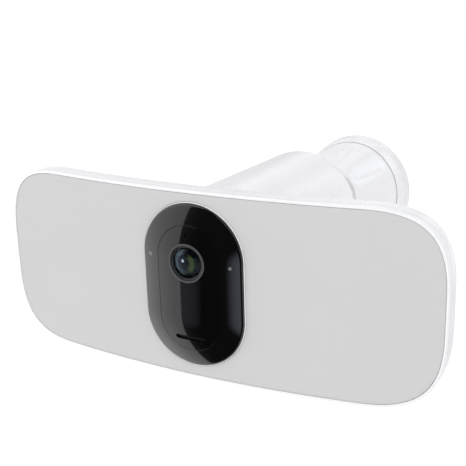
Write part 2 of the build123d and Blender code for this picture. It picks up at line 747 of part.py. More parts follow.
# ---- Every node ----------------------------------------------------------------------------------------------
HEAD = {
    "diffuser": make_diffuser,
    "front_bezel": make_front_bezel,
    "panel_gasket": make_panel_gasket,
    "rear_cover": make_rear_cover,
    "reflector_tray": make_reflector_tray,
    "led_packages": make_led_packages,
    "heat_sink_plate": make_heat_sink_plate,
    "panel_screws": make_panel_screws,
    "antennas": make_antennas,
    "camera_cover": make_camera_cover,
    "cover_trim": make_cover_trim,
    "face_window": make_face_window,
    "lens_ring": make_lens_ring,
    "lens_glass": make_lens_glass,
    "lens_barrel": make_lens_barrel,
    "lens_elements": make_lens_elements,
    "image_sensor": make_image_sensor,
    "sensor_board": make_sensor_board,
    "main_board": make_main_board,
    "board_components": make_board_components,
    "infrared_board": make_infrared_board,
    "infrared_leds": make_infrared_leds,
    "speaker": make_speaker,
    "speaker_grille": make_speaker_grille,
    "microphone": make_microphone,
    "sensor_window": make_sensor_window,
    "status_light_pipe": make_status_light_pipe,
    "motion_sensor": make_motion_sensor,
    "motion_lens": make_motion_lens,
    "chassis": make_chassis,
    "chassis_screws": make_chassis_screws,
    "siren": make_siren,
    "sync_button": make_sync_button,
    "charge_port": make_charge_port,
    "charge_contacts": make_charge_contacts,
    "battery_bay": make_battery_bay,
    "bay_screws": make_bay_screws,
    "battery_contacts": make_battery_contacts,
    "battery_case": make_battery_case,
    "battery_pads": make_battery_pads,
    "battery_cells": make_battery_cells,
    "sleeve_seal": make_sleeve_seal,
    "housing_sleeve": make_housing_sleeve,
    "release_button": make_release_button,
    "release_spring": make_release_spring,
    "ball_stem": make_ball_stem,
    "stem_washer": make_stem_washer,
    "stem_nut": make_stem_nut,
}
WALL = {
    "friction_cup": make_friction_cup,
    "wall_plate": make_wall_plate,
    "mount_base": make_mount_base,
    "security_screw": make_security_screw,
    "base_seal": make_base_seal,
    "lock_collar": make_lock_collar,
}

place = head_place()
for node, make in HEAD.items():
    save(node, make(), place)
for side, word in ((-1, "left"), (1, "right")):
    save(f"led_board_{word}", make_led_board(side), place)
for node, make in WALL.items():
    save(node, make())
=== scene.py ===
"""Floodlight security camera: the finished look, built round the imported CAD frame.

Lengths are in metres. Most pieces are drawn in the lamp head's own straight frame: its origin is the middle
of the diffuser's front, x runs to the right, y back towards the wall and z up. HEAD places that frame.
"""
import bpy
import bmesh
import json
import math
import numpy as np
from mathutils import Matrix, Vector


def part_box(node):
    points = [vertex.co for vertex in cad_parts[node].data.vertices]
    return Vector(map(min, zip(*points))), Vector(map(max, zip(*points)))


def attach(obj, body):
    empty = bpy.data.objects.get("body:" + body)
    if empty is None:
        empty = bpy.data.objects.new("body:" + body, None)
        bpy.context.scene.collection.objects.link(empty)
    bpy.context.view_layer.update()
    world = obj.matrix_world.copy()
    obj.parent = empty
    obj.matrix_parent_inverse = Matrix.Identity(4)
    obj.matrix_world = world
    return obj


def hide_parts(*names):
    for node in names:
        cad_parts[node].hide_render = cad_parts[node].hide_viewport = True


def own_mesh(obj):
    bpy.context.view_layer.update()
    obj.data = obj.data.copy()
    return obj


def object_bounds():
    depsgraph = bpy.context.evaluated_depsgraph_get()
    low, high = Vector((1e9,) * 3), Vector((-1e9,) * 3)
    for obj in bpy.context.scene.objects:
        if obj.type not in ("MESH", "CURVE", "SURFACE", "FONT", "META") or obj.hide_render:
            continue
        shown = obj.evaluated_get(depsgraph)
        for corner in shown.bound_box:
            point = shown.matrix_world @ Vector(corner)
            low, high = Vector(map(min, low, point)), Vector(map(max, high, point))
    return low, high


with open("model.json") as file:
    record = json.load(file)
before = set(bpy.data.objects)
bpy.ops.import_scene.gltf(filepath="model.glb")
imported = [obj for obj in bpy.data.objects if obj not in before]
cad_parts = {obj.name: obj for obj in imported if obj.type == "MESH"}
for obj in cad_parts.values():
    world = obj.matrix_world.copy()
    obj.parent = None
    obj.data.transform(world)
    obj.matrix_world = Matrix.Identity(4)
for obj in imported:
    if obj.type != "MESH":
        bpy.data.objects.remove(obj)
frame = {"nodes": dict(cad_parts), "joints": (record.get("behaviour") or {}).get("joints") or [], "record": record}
cad_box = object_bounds()

MM = 0.001
TAU = 2 * math.pi


# ---- Places, all read from the frame -------------------------------------------------------------
joints = {joint["name"]: joint for joint in frame["joints"]}
BALL = Vector(joints["head_tilt"]["pos_m"])
HEAD_X = Vector(joints["head_tilt"]["axis"]).normalized()
HEAD_Y = Vector(joints["head_roll"]["axis"]).normalized()
HEAD_Z = HEAD_X.cross(HEAD_Y)
FROM_BALL = Matrix.Translation(BALL) @ Matrix((HEAD_X, HEAD_Y, HEAD_Z)).transposed().to_4x4()
WALL = Matrix.Identity(4)


def box_in(place, node):
    """Lowest and highest corner of a CAD node in a placed frame."""
    back = place.inverted()
    points = np.array([back @ vertex.co for vertex in frame["nodes"][node].data.vertices])
    return Vector(points.min(0)), Vector(points.max(0))


panel_lo, panel_hi = box_in(FROM_BALL, "diffuser")
HEAD = FROM_BALL @ Matrix.Translation((0, panel_lo.y, (panel_lo.z + panel_hi.z) / 2))
BALL_LOCAL = HEAD.inverted() @ BALL


def head_box(node):
    return box_in(HEAD, node)


# ---- Design sizes --------------------------------------------------------------------------------
HALF_WIDTH = (panel_hi.x - panel_lo.x) / 2
HALF_HEIGHT = (panel_hi.z - panel_lo.z) / 2
CORNER = 45.0 * MM
CORNER_POWER = 2.65
BEND = 683.0 * MM
RIM = head_box("front_bezel")[1].z - HALF_HEIGHT
DIFFUSER_THICK = 2.2 * MM
BEZEL_FRONT = -0.4 * MM
BEZEL_BACK = 4.1 * MM
SHELL_FRONT = 4.7 * MM
SHELL_INSIDE = 13.1 * MM
SHELL_BACK = 15.5 * MM

cover_lo, cover_hi = head_box("camera_cover")
COVER_W = cover_hi.x
COVER_H = (cover_hi.z - cover_lo.z) / 2
COVER_Z = (cover_hi.z + cover_lo.z) / 2
COVER_WALL = 1.8 * MM
face_lo, face_hi = head_box("face_window")
NOSE = face_lo.y
NOSE_ROUND = 82.0 * MM
FACE_W = face_hi.x
FACE_H = (face_hi.z - face_lo.z) / 2
TRIM = 0.7 * MM
# Gap round a piece in its hole.
FIT = 0.1 * MM
lens_lo, lens_hi = head_box("lens_ring")
LENS_Z = (lens_lo.z + lens_hi.z) / 2
LENS_R = (lens_hi.x - lens_lo.x) / 2

sleeve_lo, sleeve_hi = head_box("housing_sleeve")
SLEEVE_R = sleeve_hi.x
SLEEVE_Z = (sleeve_lo.z + sleeve_hi.z) / 2
PAD_CORNER = 1.8 * MM

# Where cutters start and end, clear of the pieces they cut.
AHEAD = -20 * MM
BEHIND = 60 * MM
# Edges that bend by more degrees than this stay sharp.
SHARP = 32
# Points on a quarter turn of an upright stadium, and down each of its sides.
STADIUM_STEPS = 40
SCREW_POINTS = 48


# ---- Mesh helpers --------------------------------------------------------------------------------
def placed_mesh(name, verts, faces, place):
    """Mesh of a shape drawn in a placed frame, with doubled points joined and its faces turned outwards."""
    mesh = bpy.data.meshes.new(name)
    mesh.from_pydata([tuple(v) for v in verts], [], faces)
    mesh.transform(place)
    whole = bmesh.new()
    whole.from_mesh(mesh)
    bmesh.ops.remove_doubles(whole, verts=whole.verts, dist=1e-7)
    bmesh.ops.recalc_face_normals(whole, faces=whole.faces)
    whole.to_mesh(mesh)
    whole.free()
    return mesh


def add_object(name, data):
    made = bpy.data.objects.new(name, data)
    bpy.context.scene.collection.objects.link(made)
    return made


def smooth(mesh, angle):
    mesh.shade_smooth()
    mesh.set_sharp_from_angle(angle=math.radians(angle))


def add_piece(name, verts, faces, body, look, replaced=(), place=HEAD, sharp=SHARP, slot=None):
    """A finished mesh piece that rides on a body. Its slot argument is not used."""
    mesh = placed_mesh(name, verts, faces, place)
    smooth(mesh, sharp)
    piece = add_object(name, mesh)
    mesh.materials.append(MATERIAL[look])
    if replaced:
        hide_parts(*replaced)
    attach(piece, body)
    return piece


def rounded(corners, steps=7):
    """(a, b) points of an open line whose corners, given as (a, b, radius), are rounded off."""
    line = []
    for i, corner in enumerate(corners):
        here = Vector(corner[:2])
        radius = corner[2] if len(corner) > 2 else 0.0
        if radius == 0.0 or i in (0, len(corners) - 1):
            line.append(tuple(here))
            continue
        before = (Vector(corners[i - 1][:2]) - here).normalized()
        after = (Vector(corners[i + 1][:2]) - here).normalized()
        half = before.angle(after) / 2
        reach = radius / math.tan(half)
        centre = here + (before + after).normalized() * radius / math.sin(half)
        start = here + before * reach - centre
        end = here + after * reach - centre
        for k in range(steps + 1):
            line.append(tuple(centre + start.lerp(end, k / steps).normalized() * radius))
    return line


def skin(loops, closed_chain=False):
    """Faces between successive loops of equal length."""
    count = len(loops[0])
    faces = []
    for i in range(len(loops) if closed_chain else len(loops) - 1):
        a = i * count
        b = ((i + 1) % len(loops)) * count
        for j in range(count):
            k = (j + 1) % count
            faces.append((a + j, a + k, b + k, b + j))
    return np.concatenate(loops), faces


def capped(loops):
    """Skin with an n-gon at each end."""
    verts, faces = skin(loops)
    count = len(loops[0])
    last = len(verts) - count
    faces.append(tuple(range(count)))
    faces.append(tuple(range(last, last + count)))
    return verts, faces


def merged(shapes):
    """Several (verts, faces) shapes as one."""
    verts = []
    faces = []
    for some_verts, some_faces in shapes:
        start = len(verts)
        verts += [tuple(v) for v in some_verts]
        faces += [tuple(i + start for i in face) for face in some_faces]
    return verts, faces


def lathe(profile, z=0.0, x=0.0, segments=128, lobes=None):
    """Turns (radius, y) points about the Y axis. A radius of 0 closes the end."""
    angles = np.linspace(0, TAU, segments, endpoint=False)
    loops = []
    for radius, y in profile:
        reach = lobes(angles, radius, y) if lobes else max(radius, 1e-6)
        ring = (x + reach * np.cos(angles), np.full(segments, y), z + reach * np.sin(angles))
        loops.append(np.stack(ring, 1))
    return skin(loops)


def cut(piece, tools):
    """Takes the tools out of a piece, then removes them."""
    for tool in tools:
        change = piece.modifiers.new("cut", "BOOLEAN")
        change.object = tool
        change.operation = "DIFFERENCE"
        change.solver = "EXACT"
    bpy.context.view_layer.update()
    graph = bpy.context.evaluated_depsgraph_get()
    mesh = bpy.data.meshes.new_from_object(piece.evaluated_get(graph))
    piece.modifiers.clear()
    piece.data = mesh
    smooth(mesh, SHARP)
    for tool in tools:
        bpy.data.objects.remove(tool)


def cutter(verts, faces, place=HEAD):
    return add_object("cutter", placed_mesh("cutter", verts, faces, place))


def rod_cutter(radius, y1, y2, x=0.0, z=0.0, segments=64):
    return cutter(*lathe([(0, y1), (radius, y1), (radius, y2), (0, y2)], z, x, segments))


def slot_loop(half_w, half_h, y, x=0.0, z=0.0, points=96):
    """Stadium outline that lies along x if it is wider than it is tall."""
    small = min(half_w, half_h)
    angles = np.linspace(0, TAU, points, endpoint=False)
    px = small * np.cos(angles) + np.sign(np.cos(angles)) * (half_w - small)
    pz = small * np.sin(angles) + np.sign(np.sin(angles)) * (half_h - small)
    return np.stack([x + px, np.full(points, y), z + pz], 1)


def square_loop(half, corner, y, x=0.0, z=0.0):
    """Square with rounded corners."""
    steps = 6
    points = []
    for quarter in range(4):
        cx = (half - corner) * (1 if quarter in (0, 3) else -1)
        cz = (half - corner) * (1 if quarter in (0, 1) else -1)
        for k in range(steps + 1):
            angle = (quarter + k / steps) * math.pi / 2
            points.append((x + cx + corner * math.cos(angle), y, z + cz + corner * math.sin(angle)))
    return np.array(points)


# ---- The bent panel's outline --------------------------------------------------------------------
def bend_y(x, depth):
    """y of the layer at this depth, x to the side."""
    return BEND - np.sqrt((BEND - depth) ** 2 - np.square(x))


def laid(outline, depth):
    """Loop of (x, z) points laid on the bent layer at this depth."""
    return np.stack([outline[:, 0], bend_y(outline[:, 0], depth), outline[:, 1]], 1)


def panel_outline(inset, flat_steps=36, corner_steps=20, end_steps=6):
    """(x, z) points round the diffuser's outline, drawn in by inset."""
    w = HALF_WIDTH - inset
    h = HALF_HEIGHT - inset
    size = CORNER - inset
    # With this reach the corner's curve has the middle of a superellipse of CORNER_POWER.
    reach = size * (1 - (8 * 2 ** (-1 / CORNER_POWER) - 4) / 3)
    t = np.linspace(0, 1, corner_steps, endpoint=False)[:, None]
    p0, p1, p2, p3 = (np.array(p) for p in ((w, h - size), (w, h - reach), (w - reach, h), (w - size, h)))
    corner = (1 - t) ** 3 * p0 + 3 * (1 - t) ** 2 * t * p1 + 3 * (1 - t) * t**2 * p2 + t**3 * p3
    top = np.stack([np.linspace(w - size, 0, flat_steps, endpoint=False), np.full(flat_steps, h)], 1)
    side = np.stack([np.full(end_steps, w), np.linspace(0, h - size, end_steps, endpoint=False)], 1)
    quarter = np.concatenate([side, corner, top])
    flip = quarter[1:][::-1] * (-1, 1)
    upper = np.concatenate([quarter, [[0, h]], flip])
    return np.concatenate([upper, -upper])


def panel_loop(inset, depth):
    return laid(panel_outline(inset), depth)


def stadium_by_ray(directions, half_w, half_h, z):
    """Points of an upright stadium in line with given (x, z) points, seen from its middle."""
    directions = directions - np.array([0, z])
    unit = directions / np.linalg.norm(directions, axis=1)[:, None]
    c, s = unit[:, 0], unit[:, 1]
    rise = half_h - half_w
    side = half_w / np.maximum(np.abs(c), 1e-9)
    round_end = np.abs(s) * rise + np.sqrt(np.maximum(half_w**2 - rise**2 * c**2, 0))
    t = np.where(side * np.abs(s) <= rise, side, round_end)
    return np.stack([c * t, s * t + z], 1)


def between(outer, inner, share, depth):
    """Loop part of the way from one (x, z) outline to another, laid on the bent layer."""
    return laid(outer * (1 - share) + inner * share, depth)


# ---- Materials -----------------------------------------------------------------------------------
def new_material(name):
    material = bpy.data.materials.new(name)
    material.use_nodes = True
    tree = material.node_tree
    return material, tree, tree.nodes["Principled BSDF"]


def with_values(material, **values):
    """Sets constant values on the shader's own sockets, whose names have spaces for the underscores."""
    shader = material.node_tree.nodes["Principled BSDF"]
    for name, value in values.items():
        shader.inputs[name.replace("_", " ")].default_value = value
    return material


def node_math(tree, operation, *values):
    """Math node fed with sockets or numbers."""
    node = tree.nodes.new("ShaderNodeMath")
    node.operation = operation
    for socket, value in zip(node.inputs, values):
        if isinstance(value, (int, float)):
            socket.default_value = value
        else:
            tree.links.new(value, socket)
    return node.outputs["Value"]


def smooth_step(tree, value, zero_at, one_at):
    """0 to 1 as a value passes between two levels."""
    node = tree.nodes.new("ShaderNodeMapRange")
    node.interpolation_type = "SMOOTHSTEP"
    node.inputs["From Min"].default_value = zero_at
    node.inputs["From Max"].default_value = one_at
    tree.links.new(value, node.inputs["Value"])
    return node.outputs["Result"]


def own_place(tree):
    """The object's own coordinates."""
    return tree.nodes.new("ShaderNodeTexCoord").outputs["Object"]


def grain(tree, scale, detail=3.0, roughness=0.5):
    """Noise over the object's own coordinates."""
    noise = tree.nodes.new("ShaderNodeTexNoise")
    noise.inputs["Scale"].default_value = scale
    noise.inputs["Detail"].default_value = detail
    noise.inputs["Roughness"].default_value = roughness
    tree.links.new(own_place(tree), noise.inputs["Vector"])
    return noise.outputs["Fac"]


def spread(tree, value, low, high, socket):
    """Sends a 0-1 value to a socket as low-high."""
    span = tree.nodes.new("ShaderNodeMapRange")
    for name, limit in (("From Min", 0.3), ("From Max", 0.7), ("To Min", low), ("To Max", high)):
        span.inputs[name].default_value = limit
    tree.links.new(value, span.inputs["Value"])
    tree.links.new(span.outputs["Result"], socket)


def tint(tree, value, dark, light, socket):
    """Sends a 0-1 value to a colour socket as dark-light."""
    ramp = tree.nodes.new("ShaderNodeValToRGB")
    for stop, position, colour in zip(ramp.color_ramp.elements, (0.35, 0.65), (dark, light)):
        stop.position = position
        stop.color = (*colour, 1)
    tree.links.new(value, ramp.inputs["Fac"])
    tree.links.new(ramp.outputs["Color"], socket)


def bump(tree, value, strength, shader):
    """Shallow relief, 0.03 mm deep at full strength."""
    node = tree.nodes.new("ShaderNodeBump")
    node.inputs["Strength"].default_value = strength
    node.inputs["Distance"].default_value = 0.00003
    tree.links.new(value, node.inputs["Height"])
    tree.links.new(node.outputs["Normal"], shader.inputs["Normal"])


def moulded(name, colour, rough, texture=0.03, spread_by=0.012, fine=1800.0, drift=(160.0, 5.0)):
    """Moulded plastic: faint cloudiness in its colour, a drifting gloss and a very fine surface grain.

    rough is one value, or the lowest and highest; drift is the scale and detail of its pattern.
    """
    material, tree, shader = new_material(name)
    dark = [max(c - spread_by * c, 0) for c in colour]
    light = [min(c + spread_by * c, 1) for c in colour]
    tint(tree, grain(tree, 22.0, 4.0), dark, light, shader.inputs["Base Color"])
    low, high = rough if isinstance(rough, tuple) else (rough - 0.03, rough + 0.04)
    spread(tree, grain(tree, *drift), low, high, shader.inputs["Roughness"])
    bump(tree, grain(tree, fine, 2.0), texture, shader)
    return material


def white_shell():
    """Smooth white gloss moulding."""
    return with_values(
        moulded("white_shell", (0.85, 0.852, 0.872), 0.28, texture=0.008),
        Coat_Weight=1.0, Coat_Roughness=0.08,
        Subsurface_Weight=0.06, Subsurface_Radius=(0.002, 0.002, 0.002),
    )


def opal_diffuser():
    """Opal sheet: satin, faintly milky, with a fine prismatic grain."""
    return with_values(
        moulded("opal_diffuser", (0.57, 0.57, 0.57), 0.46, texture=0.06, spread_by=0.006, fine=2600.0),
        Subsurface_Weight=0.15, Subsurface_Radius=(0.004, 0.004, 0.004), Specular_IOR_Level=0.35,
    )


def gloss_black(name, rough, colour):
    """Piano black: nearly a mirror, with a trace of haze."""
    shade = (colour, colour, colour * 1.1)
    haze = (rough * 0.7, rough * 1.4)
    return with_values(
        moulded(name, shade, haze, texture=0.004, spread_by=0.15, fine=900.0, drift=(90.0, 6.0)),
        Coat_Weight=0.5, Coat_Roughness=0.02,
    )


def lens_coated():
    """Clear coated glass."""
    material, tree, shader = new_material("lens_coated")
    tint(tree, grain(tree, 60.0), (0.90, 0.95, 1.0), (0.96, 1.0, 0.98), shader.inputs["Base Color"])
    spread(tree, grain(tree, 240.0, 6.0), 0.0, 0.02, shader.inputs["Roughness"])
    return with_values(material, Transmission_Weight=1.0, IOR=1.12)


def element_front_glass():
    """Inner element: near black, with painted reflections, blue-grey at its left and green at its right, and a
    painted highlight.
    """
    material, tree, shader = new_material("element_front")
    centre = HEAD @ Vector((-1.0 * MM, lens_lo.y, LENS_Z))
    reach = 8.6 * MM
    axes = tree.nodes.new("ShaderNodeSeparateXYZ")
    tree.links.new(own_place(tree), axes.inputs["Vector"])
    across = node_math(tree, "MULTIPLY_ADD", axes.outputs["X"], 1 / reach, -centre.x / reach)
    up = node_math(tree, "MULTIPLY_ADD", axes.outputs["Z"], 1 / reach, -centre.z / reach)

    def squares(a, b):
        return node_math(tree, "MULTIPLY_ADD", a, a, node_math(tree, "MULTIPLY", b, b))

    radius = node_math(tree, "SQRT", squares(across, up))

    def blend(mask, colour, under):
        mix = tree.nodes.new("ShaderNodeMix")
        mix.data_type = "RGBA"
        tree.links.new(mask, mix.inputs["Factor"])
        mix.inputs["B"].default_value = (*colour, 1)
        if isinstance(under, tuple):
            mix.inputs["A"].default_value = (*under, 1)
        else:
            tree.links.new(under, mix.inputs["A"])
        return mix.outputs["Result"]

    def painted_reflection(side, inner, outer, colour, under):
        """Mixes a painted reflection's colour over another in a ring that fades out to one side."""
        inside = smooth_step(tree, radius, outer, outer - 0.12)
        outside = smooth_step(tree, radius, inner, inner + 0.12)
        towards = smooth_step(tree, across, 0.0, side * 0.45)
        ring = node_math(tree, "MULTIPLY", inside, outside)
        return blend(node_math(tree, "MULTIPLY", ring, towards), colour, under)

    # Painted reflections in the element's colour: a blue-grey ring to the left, a darker blue one inside it and a
    # green one to the right.
    colour = painted_reflection(-1, 0.56, 1.0, (0.085, 0.12, 0.145), (0.003, 0.005, 0.008))
    colour = painted_reflection(-1, 0.28, 0.50, (0.020, 0.035, 0.050), colour)
    colour = painted_reflection(1, 0.28, 0.76, (0.050, 0.070, 0.025), colour)
    # Painted highlight: a small pale spot a little left of and above the middle.
    near = squares(node_math(tree, "SUBTRACT", across, -0.16), node_math(tree, "SUBTRACT", up, 0.15))
    painted_highlight = blend(smooth_step(tree, near, 0.016, 0.004), (0.75, 0.82, 0.88), colour)
    tree.links.new(painted_highlight, shader.inputs["Base Color"])
    spread(tree, grain(tree, 200.0), 0.08, 0.14, shader.inputs["Roughness"])
    return with_values(material, Specular_IOR_Level=0.1)


def metal(name, colour, rough, relief=0.3):
    """Machined or drawn metal with fine streaks."""
    material, tree, shader = new_material(name)
    marks = grain(tree, 700.0, 8.0, 0.7)
    tint(tree, marks, [c * 0.86 for c in colour], colour, shader.inputs["Base Color"])
    spread(tree, marks, rough - 0.05, rough + 0.10, shader.inputs["Roughness"])
    bump(tree, marks, relief, shader)
    return with_values(material, Metallic=1.0)


def circuit_board(name, mask, copper):
    """Solder mask with faint copper tracks under it."""
    material, tree, shader = new_material(name)
    tracks = tree.nodes.new("ShaderNodeTexBrick")
    tracks.inputs["Scale"].default_value = 260.0
    tracks.inputs["Mortar Size"].default_value = 0.04
    tracks.inputs["Color1"].default_value = (*mask, 1)
    tracks.inputs["Color2"].default_value = (*[c * 1.12 for c in mask], 1)
    tracks.inputs["Mortar"].default_value = (*copper, 1)
    tree.links.new(own_place(tree), tracks.inputs["Vector"])
    tree.links.new(tracks.outputs["Color"], shader.inputs["Base Color"])
    spread(tree, grain(tree, 300.0), 0.28, 0.40, shader.inputs["Roughness"])
    bump(tree, tracks.outputs["Fac"], 0.4, shader)
    return material


def emitter():
    """Phosphor under a clear dome."""
    phosphor = moulded("emitter", (0.86, 0.70, 0.20), 0.35, texture=0.2, spread_by=0.06)
    return with_values(phosphor, Coat_Weight=0.7)


def rubber():
    return moulded("rubber_grey", (0.12, 0.12, 0.125), 0.68, texture=0.25, spread_by=0.08, fine=1200.0)


MATERIAL = {
    "white_shell": white_shell(),
    "opal_diffuser": opal_diffuser(),
    "gloss_black": gloss_black("gloss_black", 0.035, 0.0025),
    "smoked_face": gloss_black("smoked_face", 0.022, 0.0018),
    "satin_black": moulded("satin_black", (0.022, 0.022, 0.024), 0.38, texture=0.12, spread_by=0.1),
    "lens_coated": lens_coated(),
    "rubber_grey": rubber(),
    "circuit_board": circuit_board("circuit_board", (0.012, 0.11, 0.045), (0.05, 0.20, 0.08)),
    "white_board": circuit_board("white_board", (0.74, 0.74, 0.72), (0.62, 0.62, 0.60)),
    "heat_sink_metal": metal("heat_sink_metal", (0.70, 0.71, 0.72), 0.34),
    "steel": metal("steel", (0.56, 0.57, 0.58), 0.28),
    "contact_gold": metal("contact_gold", (0.83, 0.62, 0.26), 0.22, relief=0.1),
    "chip_black": moulded("chip_black", (0.03, 0.03, 0.032), 0.5, texture=0.2, spread_by=0.1),
    "inner_plastic": moulded("inner_plastic", (0.42, 0.43, 0.45), 0.45, texture=0.12, spread_by=0.03),
    "emitter": emitter(),
    "cell_wrap": moulded("cell_wrap", (0.05, 0.20, 0.42), 0.26, texture=0.05, spread_by=0.05),
    "light_pipe": moulded("light_pipe", (0.13, 0.135, 0.14), 0.12, texture=0.03),
    "element_front": element_front_glass(),
    "lens_rim": moulded("lens_rim", (0.075, 0.075, 0.078), 0.30, texture=0.1, spread_by=0.06),
}

for part in frame["record"]["subparts"]:
    node = frame["nodes"][part["node"]]
    node.data.materials.clear()
    node.data.materials.append(MATERIAL[part["material_slot"]])
# The plate behind the speaker's slot takes the satin black look.
frame["nodes"]["speaker_grille"].data.materials[0] = MATERIAL["satin_black"]


# ---- Panel ---------------------------------------------------------------------------------------
def make_diffuser():
    """Opal sheet with softened edges and a stadium hole."""
    soft = 0.35 * MM
    gap = 0.15 * MM
    hole_w = COVER_W + TRIM + gap
    hole_h = COVER_H + TRIM + gap
    rings = 26

    def face(depth, edge):
        outer = panel_outline(edge)
        inner = stadium_by_ray(outer, hole_w + edge, hole_h + edge, COVER_Z)
        return [between(outer, inner, i / rings, depth) for i in range(rings + 1)]

    rim = stadium_by_ray(panel_outline(0), hole_w, hole_h, COVER_Z)
    loops = face(0, soft)[::-1] + [panel_loop(0.3 * soft, 0.3 * soft), panel_loop(0, soft)]
    loops += [panel_loop(0, DIFFUSER_THICK - soft)] + face(DIFFUSER_THICK, soft)
    loops += [laid(rim, DIFFUSER_THICK - soft), laid(rim, soft)]
    add_piece("opal_front", *skin(loops, closed_chain=True), "head", "opal_diffuser", ["diffuser"])


def make_bezel():
    """Rolled rim that reaches over the diffuser's edge and behind it."""
    seat = DIFFUSER_THICK + 0.15 * MM
    section = rounded([
        (1.2 * MM, seat), (-0.15 * MM, seat),
        (-0.15 * MM, BEZEL_FRONT, 0.45 * MM), (-RIM, BEZEL_FRONT, 1.1 * MM),
        (-RIM, BEZEL_BACK, 0.35 * MM), (-RIM + 1.1 * MM, BEZEL_BACK), (1.2 * MM, BEZEL_BACK),
    ])
    loops = [panel_loop(inset, depth) for inset, depth in section]
    add_piece("white_rim", *skin(loops, closed_chain=True), "head", "white_shell", ["front_bezel"], sharp=40)


def make_rear_cover():
    """Back shell: rounded edge, smooth bent back and the spigot under the sleeve."""
    lip = 0.9 * MM
    shoulder = 9.0 * MM
    spigot_r = 40.8 * MM
    spigot_bore = spigot_r - 2.2 * MM
    spigot_back = 36.0 * MM
    way_in = 34.0 * MM
    rings = 22
    edge = rounded([
        (lip, SHELL_INSIDE), (lip, SHELL_FRONT), (-RIM, SHELL_FRONT, 0.4 * MM), (-RIM, SHELL_BACK, 4.2 * MM),
        (shoulder, SHELL_BACK),
    ], 10)
    outer = panel_outline(shoulder)
    inner = panel_outline(lip)
    centre = np.array([0, SLEEVE_Z])

    def circle(radius):
        away = outer - centre
        return centre + radius * away / np.linalg.norm(away, axis=1)[:, None]

    def flat(radius, y):
        ring = circle(radius)
        return np.stack([ring[:, 0], np.full(len(ring), y), ring[:, 1]], 1)

    loops = [panel_loop(inset, depth) for inset, depth in edge]
    loops += [between(outer, circle(spigot_r), i / rings, SHELL_BACK) for i in range(1, rings + 1)]
    loops += [flat(spigot_r, spigot_back - 0.5 * MM), flat(spigot_r - 0.5 * MM, spigot_back)]
    loops += [flat(spigot_bore, spigot_back), flat(spigot_bore, SHELL_BACK + 1.2 * MM)]
    loops += [flat(way_in, SHELL_BACK + 0.6 * MM)]
    loops += [between(inner, circle(way_in), 1 - i / rings, SHELL_INSIDE) for i in range(rings + 1)]
    shell = add_piece("back_shell", *skin(loops), "head", "white_shell", ["rear_cover"])

    sync_lo, sync_hi = head_box("sync_button")
    port_lo, port_hi = head_box("charge_port")
    port_x = (port_lo.x + port_hi.x) / 2
    port_w = (port_hi.x - port_lo.x) / 2 + 0.15 * MM
    port_h = (port_hi.z - port_lo.z) / 2 + 0.15 * MM
    floor = port_lo.y - 0.1 * MM
    cuts = [
        rod_cutter(4.35 * MM, 0, BEHIND, (sync_lo.x + sync_hi.x) / 2, 0),
        cutter(*capped([slot_loop(port_w, port_h, y, port_x) for y in (floor, BEHIND)])),
    ]
    for x, z in screw_places():
        cuts.append(rod_cutter(3.0 * MM, bend_y(x, SHELL_BACK) - 1.3 * MM, BEHIND, x, z))
        cuts.append(rod_cutter(1.6 * MM, 0, BEHIND, x, z, 32))
    cut(shell, cuts)


SCREW_HEAD = 2.8 * MM


def screw_places():
    hi = head_box("panel_screws")[1]
    return [(side * (hi.x - SCREW_HEAD), up * (hi.z - SCREW_HEAD)) for side in (-1, 1) for up in (-1, 1)]


def make_screws():
    """Sunk screws with a six-sided socket."""
    shank = 1.3 * MM
    shapes = []
    for x, z in screw_places():
        back = bend_y(x, SHELL_BACK)
        tip = back - 8 * MM
        seat = back - 1.2 * MM
        top = back - 0.1 * MM
        profile = [(0, tip)] + rounded([(shank, tip), (shank, seat), (SCREW_HEAD, seat)])
        profile += rounded([(SCREW_HEAD, back - 1.1 * MM), (SCREW_HEAD, top, 0.4 * MM), (1.5 * MM, top)])
        screw = lathe(profile, z, x, SCREW_POINTS)
        rings = [hexagon_ring(1.35 * MM, y, x, z) for y in (top, back - 0.9 * MM)]
        socket, sides = skin([screw[0][-SCREW_POINTS:]] + rings)
        floor = tuple(range(2 * SCREW_POINTS, 3 * SCREW_POINTS))
        shapes += [screw, (socket, sides + [floor])]
    add_piece("shell_screws", *merged(shapes), "head", "steel", ["panel_screws"])


def hexagon_ring(radius, y, x, z):
    """Hexagon drawn with as many points as the round head."""
    angles = np.linspace(0, TAU, SCREW_POINTS, endpoint=False)
    sector = (angles + TAU / 12) % (TAU / 6) - TAU / 12
    reach = radius * math.cos(TAU / 12) / np.cos(sector)
    return np.stack([x + reach * np.cos(angles), np.full(SCREW_POINTS, y), z + reach * np.sin(angles)], 1)


# ---- Camera --------------------------------------------------------------------------------------
def dome_y(x, z, depth=0.0):
    """y of the cover's domed front: round from side to side and round again at each end."""
    end = np.maximum(np.abs(z - COVER_Z) - (COVER_H - COVER_W), 0)
    return NOSE + NOSE_ROUND - np.sqrt((NOSE_ROUND - depth) ** 2 - np.square(x) - np.square(end))


def stadium_loop(half_w, half_h, y):
    """Upright stadium round the cover's middle; y is a number or a function of x and z."""
    t = np.linspace(0, math.pi, 2 * STADIUM_STEPS + 1)
    rise = half_h - half_w
    top = np.stack([half_w * np.cos(t), half_w * np.sin(t) + rise], 1)
    fall = np.linspace(rise, -rise, STADIUM_STEPS, endpoint=False)[1:]
    left = np.stack([np.full(len(fall), -half_w), fall], 1)
    half = np.concatenate([top, left])
    flat = np.concatenate([half, -half])
    x, z = flat[:, 0], flat[:, 1] + COVER_Z
    depth = y(x, z) if callable(y) else np.full(len(flat), y)
    return np.stack([x, depth, z], 1)


